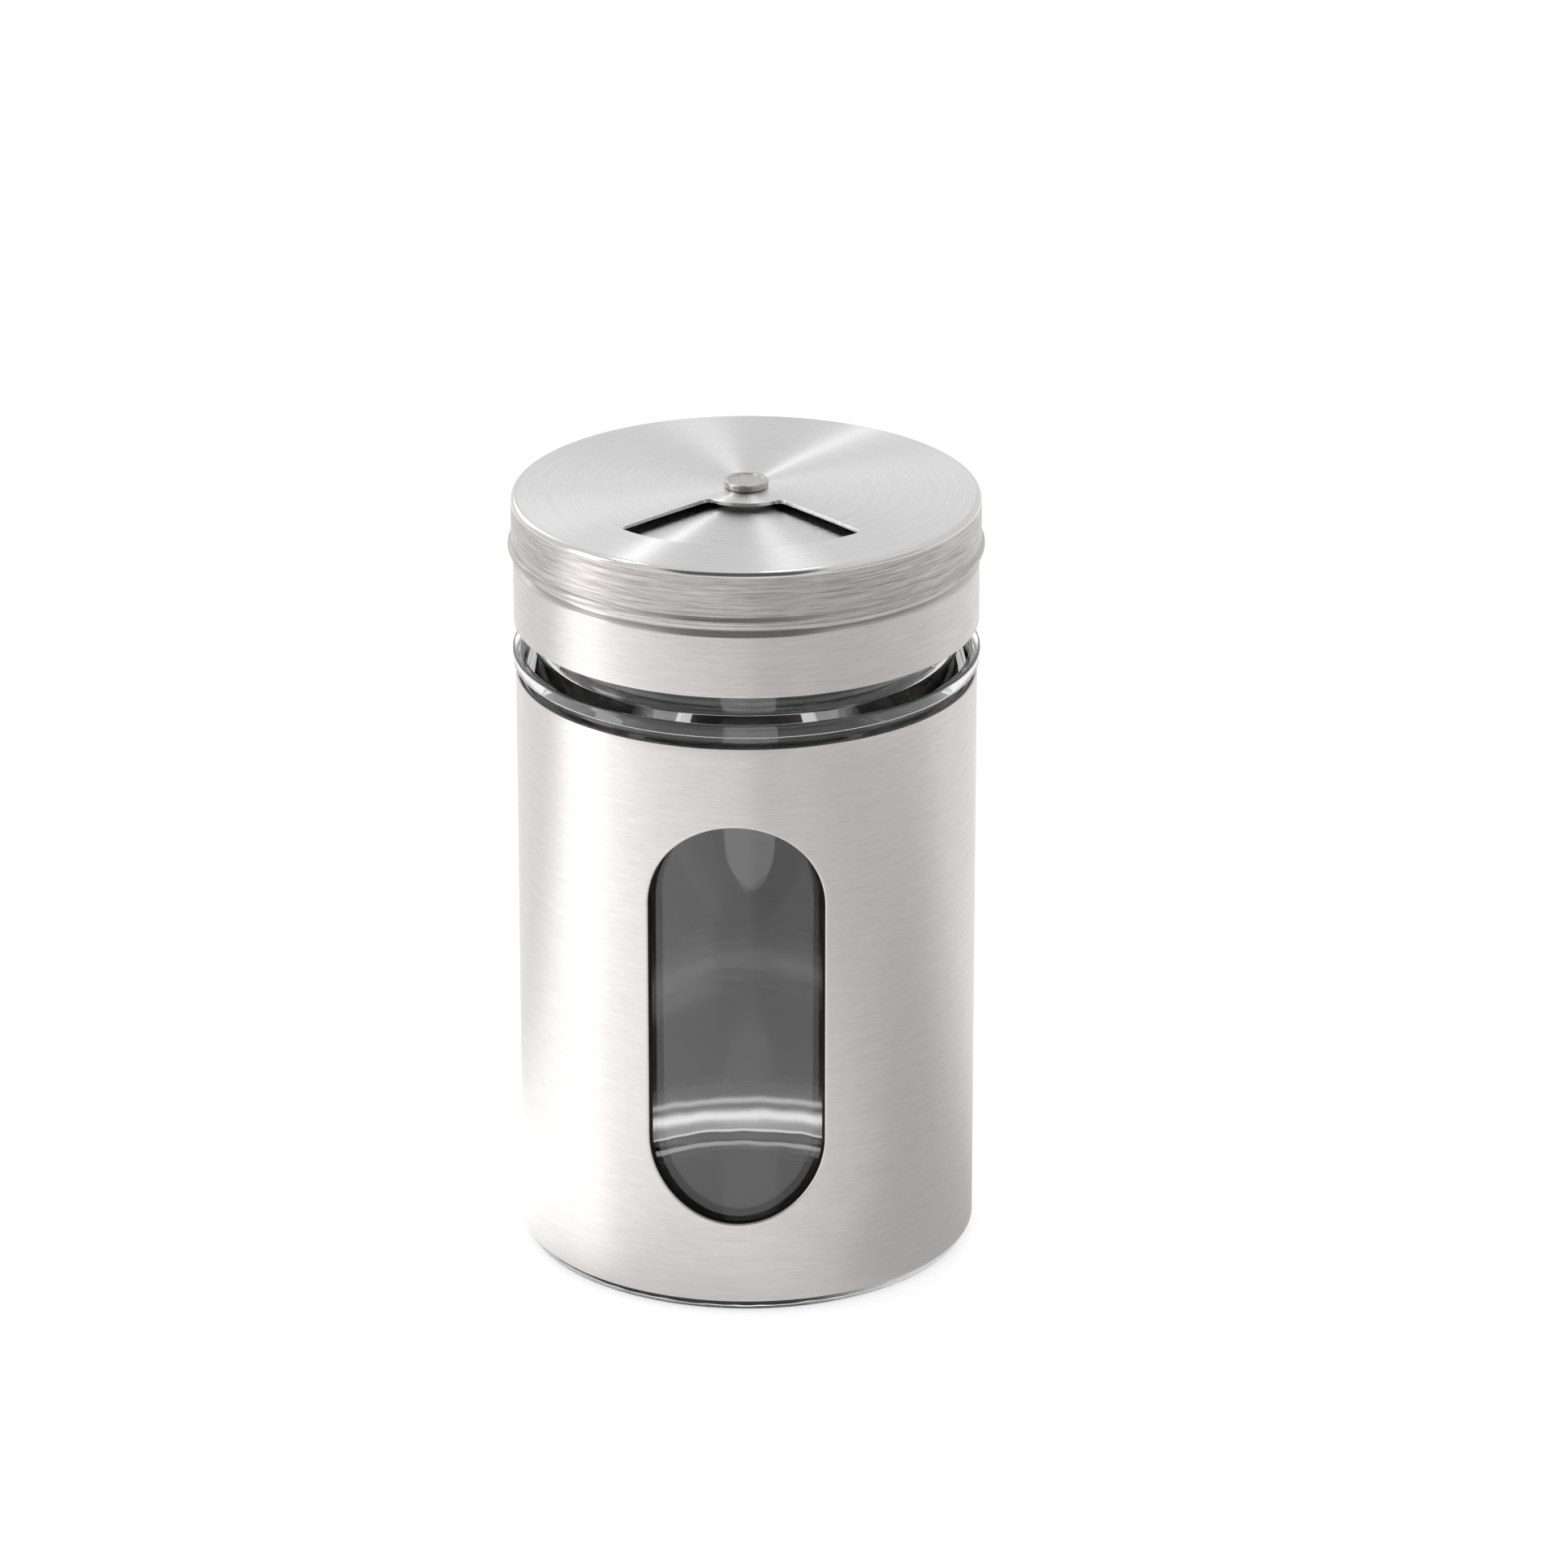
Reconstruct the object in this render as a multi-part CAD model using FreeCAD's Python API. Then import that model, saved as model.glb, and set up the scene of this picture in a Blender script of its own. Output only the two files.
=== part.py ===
import FreeCAD, Part
import math
import os

os.makedirs("parts", exist_ok=True)

# Lengths are in millimetres and angles in degrees
# The jar stands on Z = 0 with its axis on Z, and the sleeve's window faces -Y

# Glass jar: body, base, and the bead round its shoulder with a groove under it
# The body has a slimmer waist behind the sleeve's window, between two lands that hold the sleeve
jar_radius = 27.0
jar_wall = 2.6
base_thickness = 3.0
heel_round = 1.0
floor_round = 4.4
waist_foot = 3.4
waist_head = 66.0
standing_ring_width = 4.5
push_up = 0.8
body_height = 73.4
groove_height = 1.4
groove_depth = 0.7
groove_slope = 0.4
groove_round = 0.3
bead_height = 1.7
bead_reach = 0.75
bead_edge_round = 0.35
shoulder_rise = 0.3

# Glass jar: neck and its screw thread
neck_set_back = 2.4
neck_wall = 2.7
neck_height = 15.65
neck_fillet = 0.7
rim_round = 0.8
inner_shoulder_height = 8.0
thread_pitch = 4.23
thread_reach = 1.1
thread_root_width = 2.3
thread_crest_width = 0.9
thread_to_rim = 3.0
thread_turns = 1.25

# Sleeve and its window
sleeve_sheet = 0.3
sleeve_clearance = 0.1
sleeve_bottom = 1.5
sleeve_to_bead = 1.35
window_width = 20.9
window_foot = 10.1
window_head = 9.85
window_collar_depth = 1.2
window_end_points = 24

# Shaker cap
cap_sheet = 0.4
cap_to_shoulder = 3.05
cap_band_height = 7.5
cap_step_in = 0.6
cap_step_rise = 0.6
cap_step_round = 0.35
cap_corner = 1.0
plate_crown = 0.45
boss_radius = 4.2

# Holes in the cap's plate, in three groups a quarter turn apart, with a plain quarter in front
# A group's rows lie at shares of the radius inside the seal
large_hole_radius = 2.95
large_row_share = 0.79
large_row_angle = 27.7
large_inner_share = 0.515
medium_hole_radius = 2.3
medium_row_share = 0.72
medium_row_angle = 28.0
medium_inner_share = 0.44
small_hole_radius = 1.2
small_row_share = 0.745
small_row_angle = 29.0
small_inner_share = 0.465
small_inner_angle = 13.6
large_group_bearing = 180.0
medium_group_bearing = 90.0
small_group_bearing = 0.0

# Screw insert in the cap
insert_play = 0.4
insert_wall = 1.1
insert_inset = 0.5
insert_relief = 0.3
insert_thread_reach = 1.1
insert_thread_root_width = 2.0
insert_thread_crest_width = 0.8
insert_thread_turns = 1.15
thread_seat_gap = 0.45

# Seal on the jar's rim
seal_thickness = 1.52
seal_play = 0.3
seal_overhang = 0.4

# Rotating cover
cover_sheet = 0.5
cover_clearance = 0.3
cover_crown = 0.62
cover_edge_round = 0.7
curl_round = 0.55
curl_reach = 0.4
curl_gap = 1.35
fan_to_boss = 1.75
fan_to_seal = 1.6
fan_angle = 90.0
fan_corner = 1.0
fan_bearing = 270.0

# Rivet and washers
rivet_radius = 1.5
rivet_play = 0.05
rivet_head_radius = 2.62
rivet_head_height = 0.95
rivet_head_round = 0.3
rivet_dish_radius = 2.1
rivet_dish_depth = 0.15
rivet_tail_radius = 2.4
rivet_tail_height = 0.7
spacer_radius = 3.6
spacer_thickness = 0.7
spring_radius = 4.0
spring_sheet = 0.3
spring_height = 0.65
backing_radius = 3.4
backing_thickness = 0.4

# How far cutting tools run past the faces that they cut
overrun = 2.0
# How far a thread is rooted in its wall
thread_root_depth = 0.4
# Points closer than this are one point
same_place = 0.000001

# Heights of the stack, from the table up
groove_foot_height = body_height - groove_height
bead_top_height = body_height + bead_height
shoulder_height = bead_top_height + shoulder_rise
rim_height = shoulder_height + neck_height
cap_bottom = shoulder_height + cap_to_shoulder
cap_band_top = cap_bottom + cap_band_height
plate_under = rim_height + seal_thickness
plate_top = plate_under + cap_sheet
cap_boss_top = plate_top + plate_crown
cap_boss_under = cap_boss_top - cap_sheet
cover_boss_under = cap_boss_top + spacer_thickness
cover_boss_top = cover_boss_under + cover_sheet
cover_rim_height = cover_boss_top - cover_crown
backing_top = cap_boss_under - spring_height
backing_under = backing_top - backing_thickness

# Radii that follow from the jar, from inside to outside
sleeve_inner_radius = jar_radius + sleeve_clearance
sleeve_radius = sleeve_inner_radius + sleeve_sheet
collar_radius = sleeve_radius - window_collar_depth
waist_radius = collar_radius - sleeve_clearance
neck_radius = jar_radius - neck_set_back
neck_bore_radius = neck_radius - neck_wall
seat_inner_radius = neck_bore_radius - seal_overhang
insert_inner_radius = neck_radius + thread_reach + insert_play
cap_bore_radius = insert_inner_radius + insert_wall
cap_radius = cap_bore_radius + cap_sheet
cap_upper_radius = cap_radius - cap_step_in
cap_upper_bore_radius = cap_upper_radius - cap_sheet
fan_inner_radius = boss_radius + fan_to_boss
fan_outer_radius = seat_inner_radius - fan_to_seal
cover_inner_radius = cap_upper_radius + cover_clearance
cover_radius = cover_inner_radius + cover_sheet
rivet_hole_radius = rivet_radius + rivet_play


def spot(r, z):
    return FreeCAD.Vector(r, 0, z)


def bearing_spot(r, bearing, z):
    angle = math.radians(bearing)
    return FreeCAD.Vector(r * math.cos(angle), r * math.sin(angle), z)


# A solid turned about Z
# A leg (r, z) is straight, and a leg (via_r, via_z, r, z) is an arc through the via point
def turned(start, *legs):
    here = spot(*start)
    edges = []
    for leg in legs:
        there = spot(*leg[-2:])
        if here.distanceToPoint(there) < same_place:
            continue
        if len(leg) == 4:
            edges.append(Part.Arc(here, spot(*leg[:2]), there).toShape())
        else:
            edges.append(Part.LineSegment(here, there).toShape())
        here = there
    if here.distanceToPoint(spot(*start)) > same_place:
        edges.append(Part.LineSegment(here, spot(*start)).toShape())
    face = Part.Face(Part.Wire(edges))
    return face.revolve(FreeCAD.Vector(0, 0, 0), FreeCAD.Vector(0, 0, 1), 360)


# The two legs that round a square corner of an outline: one to the arc's start and the arc itself
def rounded(before, corner, after, radius):
    to_before = math.hypot(before[0] - corner[0], before[1] - corner[1])
    to_after = math.hypot(after[0] - corner[0], after[1] - corner[1])
    back = [(before[i] - corner[i]) / to_before for i in (0, 1)]
    on = [(after[i] - corner[i]) / to_after for i in (0, 1)]
    half = math.acos(back[0] * on[0] + back[1] * on[1]) / 2
    run = radius / math.tan(half)
    first = [corner[i] + back[i] * run for i in (0, 1)]
    last = [corner[i] + on[i] * run for i in (0, 1)]
    middle = [back[i] + on[i] for i in (0, 1)]
    depth = (radius / math.sin(half) - radius) / math.hypot(*middle)
    via = [corner[i] + middle[i] * depth for i in (0, 1)]
    return [tuple(first), (*via, *last)]


# Height of a crowned plate at radius r: it has risen by nothing at its edge and by all at the boss
def crowned(r, edge_radius, edge_height, rise):
    share = (1 - (r / edge_radius) ** 2) / (1 - (boss_radius / edge_radius) ** 2)
    return edge_height + rise * share


def ring(inner_radius, outer_radius, bottom, top):
    return turned((inner_radius, bottom), (outer_radius, bottom), (outer_radius, top), (inner_radius, top))


# A screw thread of trapezium section, which reaches out from its wall or, with a negative reach, in
def thread(wall_radius, reach, root_width, crest_width, turns, start_height, start_bearing):
    root_radius = wall_radius - math.copysign(thread_root_depth, reach)
    flare = (root_width - crest_width) * thread_root_depth / abs(reach)
    corners = []
    for radius, width in ((root_radius, root_width + flare), (wall_radius + reach, crest_width)):
        side = 1 if radius == root_radius else -1
        corners.append(spot(radius, side * width / 2))
        corners.append(spot(radius, -side * width / 2))
    section = Part.makePolygon(corners + corners[:1])
    spine = Part.Wire(Part.makeHelix(thread_pitch, thread_pitch * turns, wall_radius))
    solid = spine.makePipeShell([section], True, True)
    solid.rotate(FreeCAD.Vector(0, 0, 0), FreeCAD.Vector(0, 0, 1), start_bearing)
    solid.translate(FreeCAD.Vector(0, 0, start_height))
    return solid


# The neck's thread ends a set distance under the rim, and the insert's thread lies under it with a set gap
neck_thread_start = rim_height - thread_to_rim - thread_pitch * thread_turns
flank_share = insert_play / thread_reach
neck_half = thread_root_width / 2 - (thread_root_width - thread_crest_width) / 2 * (1 - flank_share)
insert_thread_drop = neck_half + insert_thread_root_width / 2 + thread_seat_gap
insert_thread_start = neck_thread_start - insert_thread_drop
neck_thread_bearing = 30.0


def glass_jar():
    inner_radius = jar_radius - jar_wall
    stand_radius = jar_radius - heel_round - standing_ring_width
    waist_slope = jar_radius - waist_radius
    groove_foot = (jar_radius, groove_foot_height)
    groove_corner = (jar_radius - groove_depth, groove_foot_height + groove_slope)
    groove_top = (jar_radius - groove_depth, body_height)
    bead_foot = (jar_radius + bead_reach, body_height)
    bead_top = (jar_radius + bead_reach, bead_top_height)
    foot = (neck_radius, shoulder_height)
    thread_foot = (neck_radius, neck_thread_start - thread_root_width)
    rim_outer = (neck_radius, rim_height)
    rim_inner = (neck_bore_radius, rim_height)
    bore_foot = (neck_bore_radius, shoulder_height)
    inner_shoulder = (inner_radius, shoulder_height - inner_shoulder_height)
    floor_corner = (inner_radius, base_thickness)
    floor_centre = (0, base_thickness)
    body = turned(
        (0, push_up),
        (stand_radius / 2, push_up * 3 / 4, stand_radius, 0),
        *rounded((stand_radius, 0), (jar_radius, 0), (jar_radius, waist_foot), heel_round),
        (jar_radius, waist_foot),
        (waist_radius, waist_foot + waist_slope),
        (waist_radius, waist_head - waist_slope),
        (jar_radius, waist_head),
        groove_foot,
        *rounded(groove_foot, groove_corner, groove_top, groove_round),
        *rounded(groove_corner, groove_top, bead_foot, groove_round),
        *rounded(groove_top, bead_foot, bead_top, bead_edge_round),
        *rounded(bead_foot, bead_top, foot, bead_edge_round),
        *rounded(bead_top, foot, thread_foot, neck_fillet),
        thread_foot,
        *rounded(thread_foot, rim_outer, rim_inner, rim_round),
        *rounded(rim_outer, rim_inner, bore_foot, rim_round),
        *rounded(rim_inner, bore_foot, inner_shoulder, floor_round),
        *rounded(bore_foot, inner_shoulder, floor_corner, floor_round),
        *rounded(inner_shoulder, floor_corner, floor_centre, floor_round),
        floor_centre,
    )
    screw = thread(
        neck_radius,
        thread_reach,
        thread_root_width,
        thread_crest_width,
        thread_turns,
        neck_thread_start,
        neck_thread_bearing,
    )
    return body.fuse(screw)


# Cuts an upright window with round ends, whose sides run towards the axis
# The margin widens it all round on the sleeve's outer face
def window_cutter(margin):
    half_width = window_width / 2 + margin
    foot = sleeve_bottom + window_foot + window_width / 2
    head = body_height - sleeve_to_bead - window_head - window_width / 2
    wires = []
    for depth in (collar_radius / 2, sleeve_radius + overrun):
        ends = []
        for side, level in ((1, head), (-1, foot)):
            spots = []
            for point in range(window_end_points + 1):
                turn = math.pi * point / window_end_points
                bearing = math.asin(side * half_width * math.cos(turn) / sleeve_radius)
                height = level + side * half_width * math.sin(turn)
                spots.append(FreeCAD.Vector(depth * math.tan(bearing), -depth, height))
            curve = Part.BSplineCurve()
            curve.interpolate(spots)
            ends.append((curve.toShape(), spots[0], spots[-1]))
        (upper, right, left), (lower, low_left, low_right) = ends
        left_side = Part.LineSegment(left, low_left).toShape()
        right_side = Part.LineSegment(low_right, right).toShape()
        wires.append(Part.Wire([upper, left_side, lower, right_side]))
    return Part.makeLoft(wires, True, True)


# A sheet tube whose window has its edge turned inwards as a collar
def window_sleeve():
    top = body_height - sleeve_to_bead
    tube = ring(sleeve_inner_radius, sleeve_radius, sleeve_bottom, top)
    collar = ring(collar_radius, sleeve_radius, sleeve_bottom, top).common(window_cutter(sleeve_sheet))
    return tube.fuse(collar).cut(window_cutter(0))


def shaker_holes():
    places = [(large_hole_radius, large_inner_share, large_group_bearing)]
    places += [(medium_hole_radius, medium_inner_share, medium_group_bearing)]
    for side in (-1, 1):
        large_bearing = large_group_bearing + side * large_row_angle
        medium_bearing = medium_group_bearing + side * medium_row_angle
        small_bearing = small_group_bearing + side * small_inner_angle
        places.append((large_hole_radius, large_row_share, large_bearing))
        places.append((medium_hole_radius, medium_row_share, medium_bearing))
        places.append((small_hole_radius, small_inner_share, small_bearing))
    for side in (-1, 0, 1):
        places.append((small_hole_radius, small_row_share, small_group_bearing + side * small_row_angle))
    depth = plate_crown + cap_sheet + 2 * overrun
    drills = []
    for radius, share, bearing in places:
        foot = bearing_spot(share * seat_inner_radius, bearing, plate_under - overrun)
        drills.append(Part.makeCylinder(radius, depth, foot))
    return drills


def shaker_cap():
    step_top = cap_band_top + cap_step_rise
    mid = (seat_inner_radius + boss_radius) / 2
    band_top = (cap_radius, cap_band_top)
    step = (cap_upper_radius, step_top)
    corner = (cap_upper_radius, plate_top)
    seat = (seat_inner_radius, plate_top)
    under_corner = (cap_upper_bore_radius, plate_under)
    under_seat = (seat_inner_radius, plate_under)
    shell = turned(
        (cap_radius, cap_bottom),
        *rounded((cap_radius, cap_bottom), band_top, step, cap_step_round),
        step,
        *rounded(step, corner, seat, cap_corner),
        seat,
        (mid, crowned(mid, seat_inner_radius, plate_top, plate_crown), boss_radius, cap_boss_top),
        (rivet_hole_radius, cap_boss_top),
        (rivet_hole_radius, cap_boss_under),
        (boss_radius, cap_boss_under),
        (mid, crowned(mid, seat_inner_radius, plate_under, plate_crown), *under_seat),
        *rounded(under_seat, under_corner, (cap_upper_bore_radius, step_top), cap_corner - cap_sheet),
        (cap_upper_bore_radius, step_top),
        (cap_bore_radius, cap_band_top),
        (cap_bore_radius, cap_bottom),
    )
    return shell.cut(shaker_holes())


def thread_ring():
    bottom = cap_bottom + insert_inset
    top = plate_top - cap_corner
    shoulder = cap_band_top - insert_relief
    body = turned(
        (insert_inner_radius, bottom),
        (cap_bore_radius, bottom),
        (cap_bore_radius, shoulder),
        (cap_upper_bore_radius, shoulder + cap_step_rise),
        (cap_upper_bore_radius, top),
        (insert_inner_radius, top),
    )
    screw = thread(
        insert_inner_radius,
        -insert_thread_reach,
        insert_thread_root_width,
        insert_thread_crest_width,
        insert_thread_turns,
        insert_thread_start,
        neck_thread_bearing,
    )
    return body.fuse(screw)


def rim_seal():
    return ring(seat_inner_radius, insert_inner_radius - seal_play, rim_height, plate_under)


def fan_cutter():
    half = fan_angle / 2
    low = cover_rim_height - cover_sheet - overrun
    edges = []
    for radius in (fan_inner_radius, fan_outer_radius):
        ends = [bearing_spot(radius, fan_bearing + bearing, low) for bearing in (-half, 0, half)]
        edges.append(Part.Arc(*ends).toShape())
    for bearing in (fan_bearing - half, fan_bearing + half):
        ends = [bearing_spot(radius, bearing, low) for radius in (fan_inner_radius, fan_outer_radius)]
        edges.append(Part.LineSegment(*ends).toShape())
    face = Part.Face(Part.Wire(Part.__sortEdges__(edges)))
    depth = cover_crown + cover_sheet + 2 * overrun
    prism = face.extrude(FreeCAD.Vector(0, 0, depth))
    upright = [e for e in prism.Edges if e.BoundBox.ZLength > depth / 2]
    return prism.makeFillet(fan_corner, upright)


def rotating_cover():
    edge = cover_radius - cover_edge_round
    mid = (edge + boss_radius) / 2
    curl_centre = cover_radius + curl_reach - curl_round
    curl_height = cap_band_top + curl_gap + curl_round
    curl_foot = curl_height - math.sqrt(curl_round**2 - (cover_inner_radius - curl_centre) ** 2)
    curl_crease = curl_height + math.sqrt(curl_round**2 - (cover_radius - curl_centre) ** 2)
    under_rim = cover_rim_height - cover_sheet
    top_corner = (cover_radius, cover_rim_height)
    under_edge = (edge, under_rim)
    under_corner = (cover_inner_radius, under_rim)
    skirt_foot = (cover_inner_radius, curl_foot)
    shell = turned(
        skirt_foot,
        (curl_centre + curl_round, curl_height, cover_radius, curl_crease),
        *rounded((cover_radius, curl_crease), top_corner, (edge, cover_rim_height), cover_edge_round),
        (mid, crowned(mid, edge, cover_rim_height, cover_crown), boss_radius, cover_boss_top),
        (rivet_hole_radius, cover_boss_top),
        (rivet_hole_radius, cover_boss_under),
        (boss_radius, cover_boss_under),
        (mid, crowned(mid, edge, under_rim, cover_crown), *under_edge),
        *rounded(under_edge, under_corner, skirt_foot, cover_edge_round - cover_sheet),
    )
    return shell.cut(fan_cutter())


def pivot_rivet():
    head_top = cover_boss_top + rivet_head_height
    tail_bottom = backing_under - rivet_tail_height
    dish = head_top - rivet_dish_depth
    head_foot = (rivet_head_radius, cover_boss_top)
    head_corner = (rivet_head_radius, head_top)
    dish_edge = (rivet_dish_radius, head_top)
    tail_corner = (rivet_tail_radius, tail_bottom)
    return turned(
        (0, tail_bottom),
        *rounded((0, tail_bottom), tail_corner, (rivet_tail_radius, backing_under), rivet_head_round),
        (rivet_tail_radius, backing_under),
        (rivet_radius, backing_under),
        (rivet_radius, cover_boss_top),
        head_foot,
        *rounded(head_foot, head_corner, dish_edge, rivet_head_round),
        dish_edge,
        (rivet_dish_radius - rivet_dish_depth, dish),
        (0, dish),
    )


def spacer_washer():
    return ring(rivet_hole_radius, spacer_radius, cap_boss_top, cover_boss_under)


def spring_washer():
    return turned(
        (rivet_hole_radius, backing_top),
        (spring_radius, cap_boss_under - spring_sheet),
        (spring_radius, cap_boss_under),
        (rivet_hole_radius, backing_top + spring_sheet),
    )


def backing_washer():
    return ring(rivet_hole_radius, backing_radius, backing_under, backing_top)


pieces = {
    "glass_jar": glass_jar,
    "window_sleeve": window_sleeve,
    "shaker_cap": shaker_cap,
    "thread_ring": thread_ring,
    "rim_seal": rim_seal,
    "rotating_cover": rotating_cover,
    "pivot_rivet": pivot_rivet,
    "spacer_washer": spacer_washer,
    "spring_washer": spring_washer,
    "backing_washer": backing_washer,
}

for name, make in pieces.items():
    shape = make()
    shape.exportStep(f"parts/{name}.step")
    print(name, len(shape.Solids), "solid", shape.isValid(), round(shape.Volume, 3))
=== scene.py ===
import math

import bmesh
import bpy
import numpy as np
from mathutils import Matrix, Vector
from mathutils.geometry import delaunay_2d_cdt


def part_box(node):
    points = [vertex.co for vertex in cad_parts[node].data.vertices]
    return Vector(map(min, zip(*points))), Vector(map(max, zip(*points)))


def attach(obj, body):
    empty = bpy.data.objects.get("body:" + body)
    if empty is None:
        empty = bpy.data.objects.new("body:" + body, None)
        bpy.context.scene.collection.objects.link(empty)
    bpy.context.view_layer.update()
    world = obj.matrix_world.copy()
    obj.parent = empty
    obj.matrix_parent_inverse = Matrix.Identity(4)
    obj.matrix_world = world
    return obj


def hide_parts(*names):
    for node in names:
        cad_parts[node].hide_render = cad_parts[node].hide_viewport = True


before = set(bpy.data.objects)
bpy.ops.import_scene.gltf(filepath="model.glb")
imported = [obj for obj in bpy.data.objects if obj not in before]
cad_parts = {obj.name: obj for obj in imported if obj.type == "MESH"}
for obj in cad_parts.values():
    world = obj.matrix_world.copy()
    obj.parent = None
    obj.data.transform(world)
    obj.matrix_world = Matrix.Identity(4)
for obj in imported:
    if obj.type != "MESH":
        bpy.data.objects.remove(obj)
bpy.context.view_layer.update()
print("frame loaded:", len(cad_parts), "nodes")

mm = 0.001  # sizes are in millimetres, and every mesh is made in metres
fullTurn = 2 * math.pi
quarterTurn = math.pi / 2
weldGap = 0.0004  # points closer than this become one
tiny = 0.000001  # lengths that differ by less are the same


# A node's outer radius, its foot and its top
def span(node):
    low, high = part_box(node)
    return high.x / mm, low.z / mm, high.z / mm


# Points at a bearing from the front, which is -Y, counted towards +X
def place(bearing, radius, height):
    bearing, radius, height = np.broadcast_arrays(bearing, radius, height)
    return np.stack((radius * np.sin(bearing), -radius * np.cos(bearing), height), axis=-1)


# Even bearings all the way round
def allRound(count):
    return np.linspace(0, fullTurn, count, endpoint=False)


# Points of the unit circle at these angles
def onCircle(angles):
    return np.stack((np.cos(angles), np.sin(angles)), axis=1)


# Rises from 0 to 1 along three t squared less two t cubed
def smooth(t):
    t = np.clip(t, 0, 1)
    return t * t * (3 - 2 * t)


# Points of an outline from its corners (r, z, round, step). A round is an arc tangent to both sides, in steps
# of about fine. A straight run is split into steps no longer than longest, with a point at the guard distance
# from each of its ends, unless it is very short
def outlineOf(corners, closed=False, guard=0.05, fine=0.12, longest=3.0, fewest=4):
    spots = [np.array(corner[:2], float) for corner in corners]
    count = len(corners)
    arcs = []
    for i, corner in enumerate(corners):
        here = spots[i]
        atEnd = not closed and i in (0, count - 1)
        if atEnd or corner[2] == 0:
            arcs.append(here[None])
            continue
        back = spots[i - 1] - here
        on = spots[(i + 1) % count] - here
        back, on = back / np.linalg.norm(back), on / np.linalg.norm(on)
        half = math.acos(np.clip(back @ on, -1, 1)) / 2
        sweep = math.pi - 2 * half
        middle = (back + on) / np.linalg.norm(back + on)
        centre = here + middle * corner[2] / math.sin(half)
        arms = [here + way * corner[2] / math.tan(half) - centre for way in (back, on)]
        t = np.linspace(0, 1, max(fewest, math.ceil(sweep * corner[2] / fine)) + 1)[:, None]
        turned = np.sin((1 - t) * sweep) * arms[0] + np.sin(t * sweep) * arms[1]
        arcs.append(centre + turned / math.sin(sweep))
    points = []
    for i, arc in enumerate(arcs):
        points.append(arc)
        if i == count - 1 and not closed:
            break
        start, end = arc[-1], arcs[(i + 1) % count][0]
        length = np.linalg.norm(end - start)
        step = corners[i][3] if len(corners[i]) > 3 else longest
        if length > 3 * guard:
            along = np.linspace(guard, length - guard, math.ceil(length / step) + 1)
            points.append(start + (end - start) * (along / length)[:, None])
    if closed:
        points.append(arcs[0][:1])
    return np.vstack(points)


# A turned surface: the outline's rows carried round the axis, one column to a bearing
def lathe(outline, bearings):
    return place(bearings[None, :], outline[:, :1], outline[:, 1:])


# Faces of a grid of points. A closed grid's last column joins its first
def gridPart(grid, finish=0, closed=True):
    rows, columns = grid.shape[:2]
    index = np.arange(rows * columns).reshape(rows, columns)
    if closed:
        index = np.hstack((index, index[:, :1]))
    quads = np.stack((index[:-1, :-1], index[:-1, 1:], index[1:, 1:], index[1:, :-1]), axis=-1)
    return grid.reshape(-1, 3), quads.reshape(-1, 4).tolist(), finish


# Puts an object in the scene
def addObject(name, data):
    added = bpy.data.objects.new(name, data)
    bpy.context.scene.collection.objects.link(added)
    return added


# Joins the parts of a piece into one smooth closed mesh. Points where parts meet are merged
def makePiece(name, parts, materials, body, node):
    points, faces, finishes = [], [], []
    start = 0
    for spots, cells, finish in parts:
        points.append(spots)
        faces += (np.array(cells) + start).tolist()
        finishes += [finish] * len(cells)
        start += len(spots)
    mesh = bpy.data.meshes.new(name)
    mesh.from_pydata(np.vstack(points) * mm, [], faces)
    mesh.polygons.foreach_set("material_index", finishes)
    sheet = bmesh.new()
    sheet.from_mesh(mesh)
    bmesh.ops.remove_doubles(sheet, verts=sheet.verts, dist=weldGap * mm)
    bmesh.ops.recalc_face_normals(sheet, faces=sheet.faces)
    openEdges = sum(not edge.is_manifold for edge in sheet.edges)
    sheet.to_mesh(mesh)
    sheet.free()
    mesh.shade_smooth()
    for material in materials:
        mesh.materials.append(material)
    piece = addObject(name, mesh)
    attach(piece, body)
    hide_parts(node)
    print(name, "made:", len(mesh.polygons), "faces,", openEdges, "open edges")


# How far a screw thread stands out at each bearing and height. Each turn is a ridge whose flanks follow a
# smooth step of the distance to the helix, and the ridge fades in and out at its two ends
def threadRise(bearings, heights, screw):
    turnsDone = (bearings - math.radians(screw["bearing"])) % fullTurn / fullTurn
    rise = np.zeros(np.broadcast(bearings, heights).shape)
    for turn in range(math.ceil(screw["turns"])):
        along = turnsDone + turn
        away = np.abs(heights - screw["start"] - screw["pitch"] * along)
        ridge = smooth((screw["root"] / 2 - away) / (screw["root"] / 2 - screw["crest"] / 2))
        ends = smooth(along / screw["fade"]) * smooth((screw["turns"] - along) / screw["fade"])
        rise = np.maximum(rise, ridge * ends)
    return rise * screw["reach"]


# Cross-section of a sheet's rounded edge: how deep under its outer face, and how far back from the edge
def edgeRound(sheet, lip, steps=4):
    turn = np.linspace(0, quarterTurn, steps + 1)
    first = np.stack((lip - lip * np.cos(turn), lip - lip * np.sin(turn)), axis=1)
    last = np.stack((sheet - first[::-1, 0], first[::-1, 1]), axis=1)
    return np.vstack((first, last))


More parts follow.
